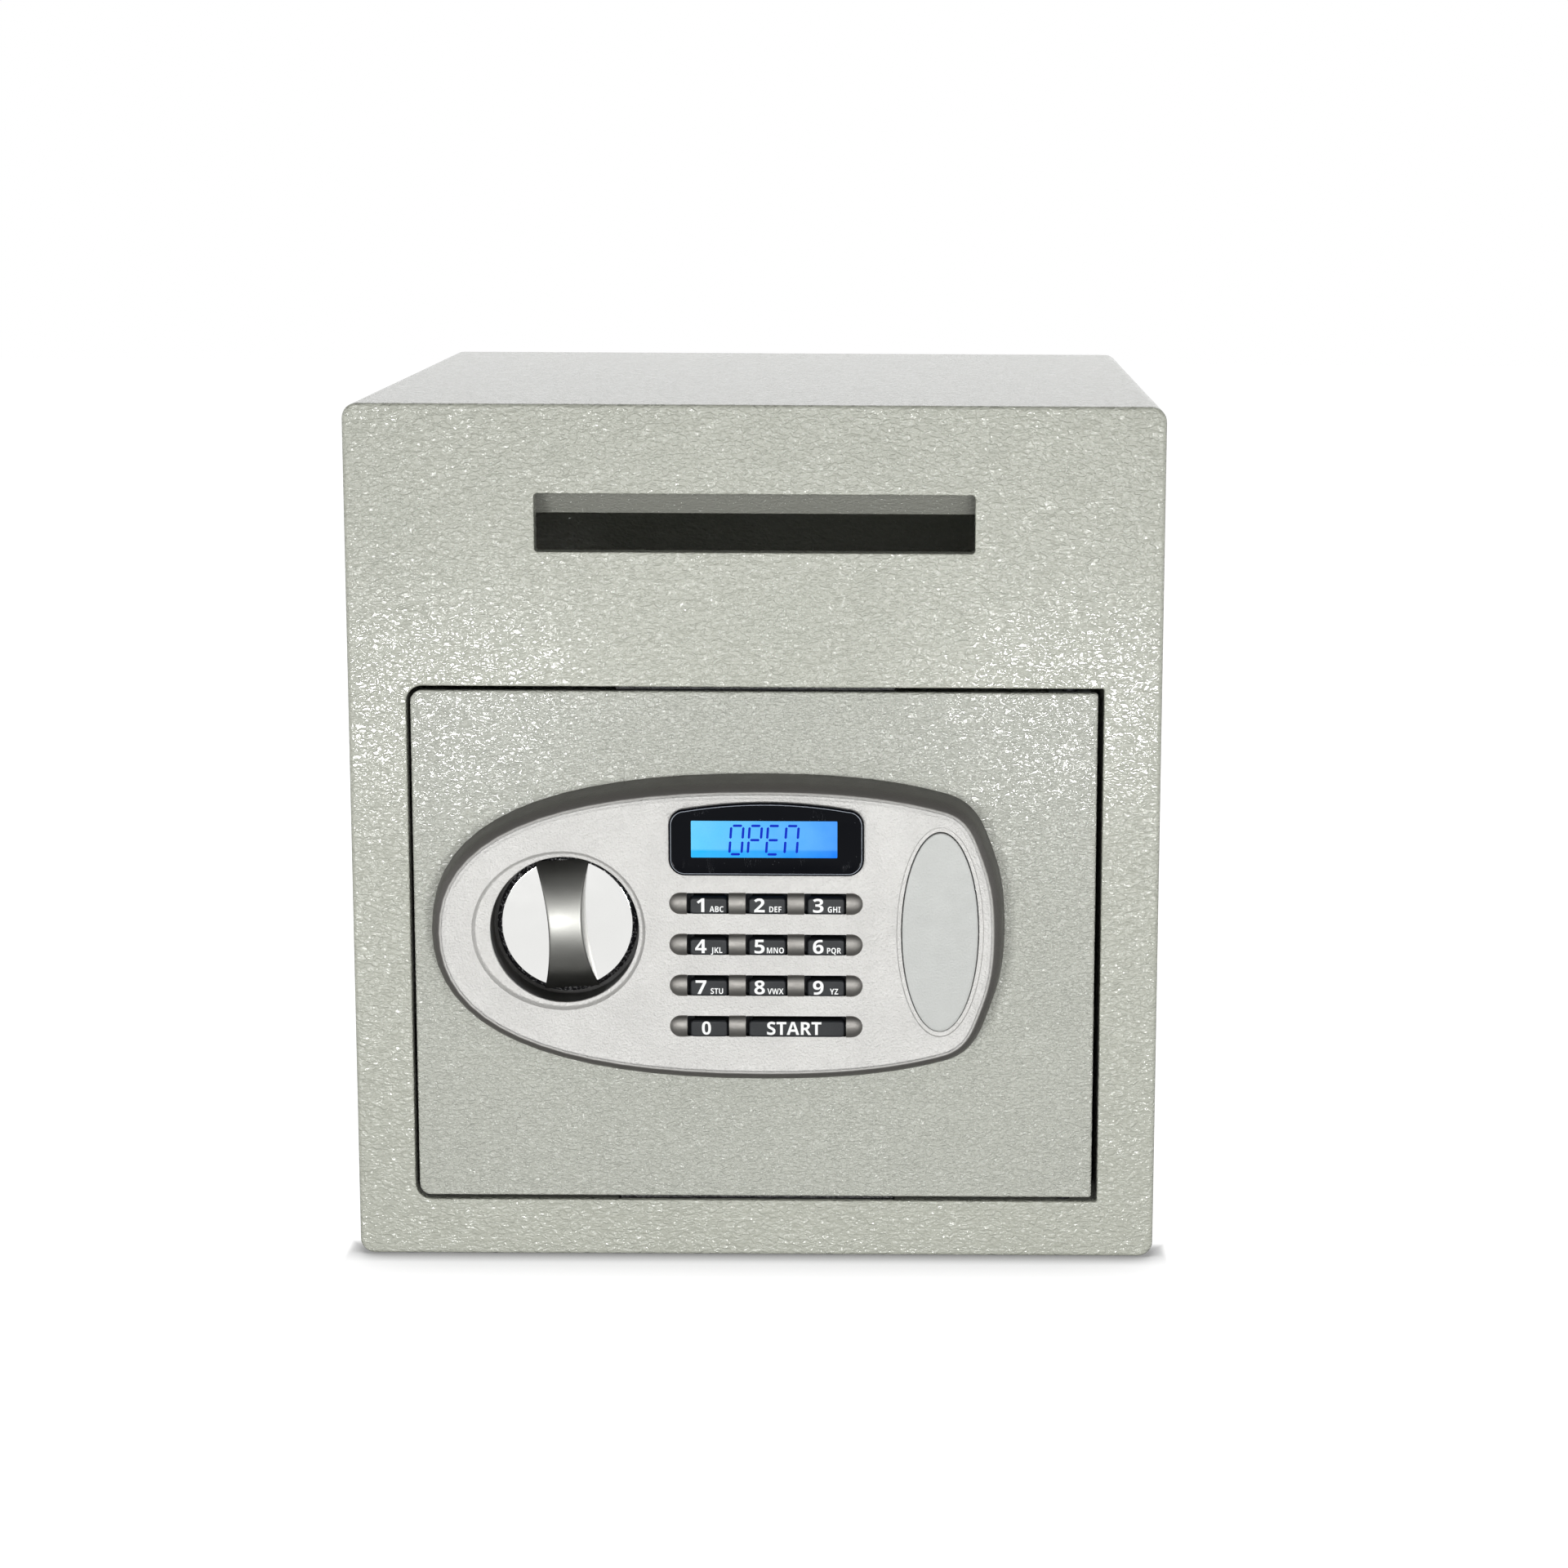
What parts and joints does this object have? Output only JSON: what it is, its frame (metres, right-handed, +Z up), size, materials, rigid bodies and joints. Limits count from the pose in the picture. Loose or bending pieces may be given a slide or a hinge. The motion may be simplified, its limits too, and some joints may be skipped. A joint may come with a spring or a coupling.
{
  "type": "deposit safe",
  "caption": "Box-shaped steel deposit safe with a letter slot above a flush door that has a turn knob, keypad and display.",
  "frame": {"origin": "middle of the cabinet's base, on the surface it stands on", "axes": "+Z up, +Y from the front into the safe, +X to the right of someone facing the front"},
  "size_m": [0.35, 0.3804, 0.375],
  "materials": {
    "paint": "pebbled grey-green powder coat, satin",
    "zinc": "zinc-plated sheet, satin",
    "steel": "machined steel",
    "chrome": "bright satin chrome",
    "silver_plastic": "fine-grained silver-grey plastic",
    "cover_plastic": "satin light grey plastic",
    "black_gloss": "gloss black",
    "display_blue": "lit blue liquid-crystal display",
    "key_rubber": "matte dark grey rubber with white figures",
    "dark_plastic": "matte black plastic",
    "circuit_board": "green circuit board",
    "brass": "turned brass",
    "red_plastic": "red plastic",
    "felt": "dark grey felt",
    "battery_sleeve": "plain grey sleeve"
  },
  "bodies": {
    "cabinet": {"body_shell": "paint", "front_frame": "paint", "door_frame": "paint", "back_panel": "paint", "upper_slot_baffle": "paint", "lower_slot_baffle": "zinc", "floor_mat": "felt"},
    "door": {"door_plate": "paint", "door_box": "zinc", "door_back_cover": "zinc", "cover_screw_1": "steel", "cover_screw_2": "steel", "cover_screw_3": "steel", "cover_screw_4": "steel", "upper_hinge_block": "steel", "lower_hinge_block": "steel", "upper_hinge_pin": "steel", "lower_hinge_pin": "steel", "fascia": "silver_plastic", "display_bezel": "black_gloss", "display_module": "display_blue", "keypad_board": "circuit_board", "key_mat": "key_rubber", "knob_bushing": "brass", "left_guide_stud": "steel", "right_guide_stud": "steel", "solenoid_body": "dark_plastic", "plunger_spring": "steel", "override_lock_body": "brass", "battery_holder": "dark_plastic", "battery_1": "battery_sleeve", "battery_2": "battery_sleeve", "battery_3": "battery_sleeve", "battery_4": "battery_sleeve", "control_board": "circuit_board", "board_lead": "dark_plastic"},
    "turn_knob": {"knob": "chrome", "knob_spindle": "steel", "crank_arm": "steel"},
    "bolt_work": {"bolt_carriage": "zinc", "lower_bolt": "chrome", "upper_bolt": "chrome"},
    "plunger": {"solenoid_plunger": "steel"},
    "override": {"override_plug": "brass", "override_cam": "steel"},
    "cover_oval": {"oval_cover": "cover_plastic"},
    "lid_battery": {"battery_lid": "dark_plastic"},
    "button_reset": {"reset_button": "red_plastic"},
    "key_one": {"key_1": "key_rubber"},
    "key_two": {"key_2": "key_rubber"},
    "key_three": {"key_3": "key_rubber"},
    "key_four": {"key_4": "key_rubber"},
    "key_five": {"key_5": "key_rubber"},
    "key_six": {"key_6": "key_rubber"},
    "key_seven": {"key_7": "key_rubber"},
    "key_eight": {"key_8": "key_rubber"},
    "key_nine": {"key_9": "key_rubber"},
    "key_zero": {"key_0": "key_rubber"},
    "key_start": {"start_key": "key_rubber"}
  },
  "joints": [
    {"name": "door_swing", "type": "hinge", "parent": "cabinet", "child": "door", "pos_m": [0.1355, -0.1725, 0.1395], "axis": [0, 0, 1], "range_deg": [0, 110]},
    {"name": "knob_turn", "type": "hinge", "parent": "door", "child": "turn_knob", "pos_m": [-0.0815, -0.18, 0.1505], "axis": [0, -1, 0], "range_deg": [0, 70]},
    {"name": "bolt_slide", "type": "slide", "parent": "door", "child": "bolt_work", "axis": [-1, 0, 0], "range_m": [0, 0.01836]},
    {"name": "plunger_slide", "type": "slide", "parent": "door", "child": "plunger", "axis": [0, 0, 1], "range_m": [0, 0.006], "deforming": ["plunger_spring"]},
    {"name": "override_turn", "type": "hinge", "parent": "door", "child": "override", "pos_m": [0.08, -0.18, 0.1505], "axis": [0, 1, 0], "range_deg": [0, 90]},
    {"name": "oval_cover_pull", "type": "slide", "parent": "door", "child": "cover_oval", "axis": [0, -1, 0], "range_m": [0, 0.04]},
    {"name": "battery_lid_pull", "type": "slide", "parent": "door", "child": "lid_battery", "axis": [0, 1, 0], "range_m": [0, 0.04]},
    {"name": "reset_press", "type": "slide", "parent": "door", "child": "button_reset", "axis": [0, -1, 0], "range_m": [0, 0.002], "stiffness_N_per_m": 300},
    {"name": "key_1_press", "type": "slide", "parent": "door", "child": "key_one", "axis": [0, 1, 0], "range_m": [0, 0.0012], "stiffness_N_per_m": 400},
    {"name": "key_2_press", "type": "slide", "parent": "door", "child": "key_two", "axis": [0, 1, 0], "range_m": [0, 0.0012], "stiffness_N_per_m": 400},
    {"name": "key_3_press", "type": "slide", "parent": "door", "child": "key_three", "axis": [0, 1, 0], "range_m": [0, 0.0012], "stiffness_N_per_m": 400},
    {"name": "key_4_press", "type": "slide", "parent": "door", "child": "key_four", "axis": [0, 1, 0], "range_m": [0, 0.0012], "stiffness_N_per_m": 400},
    {"name": "key_5_press", "type": "slide", "parent": "door", "child": "key_five", "axis": [0, 1, 0], "range_m": [0, 0.0012], "stiffness_N_per_m": 400},
    {"name": "key_6_press", "type": "slide", "parent": "door", "child": "key_six", "axis": [0, 1, 0], "range_m": [0, 0.0012], "stiffness_N_per_m": 400},
    {"name": "key_7_press", "type": "slide", "parent": "door", "child": "key_seven", "axis": [0, 1, 0], "range_m": [0, 0.0012], "stiffness_N_per_m": 400},
    {"name": "key_8_press", "type": "slide", "parent": "door", "child": "key_eight", "axis": [0, 1, 0], "range_m": [0, 0.0012], "stiffness_N_per_m": 400},
    {"name": "key_9_press", "type": "slide", "parent": "door", "child": "key_nine", "axis": [0, 1, 0], "range_m": [0, 0.0012], "stiffness_N_per_m": 400},
    {"name": "key_0_press", "type": "slide", "parent": "door", "child": "key_zero", "axis": [0, 1, 0], "range_m": [0, 0.0012], "stiffness_N_per_m": 400},
    {"name": "start_key_press", "type": "slide", "parent": "door", "child": "key_start", "axis": [0, 1, 0], "range_m": [0, 0.0012], "stiffness_N_per_m": 400}
  ],
  "couplings": [
    {"joint": "knob_turn", "follows": "bolt_slide", "rad_per_m": 66.543}
  ]
}
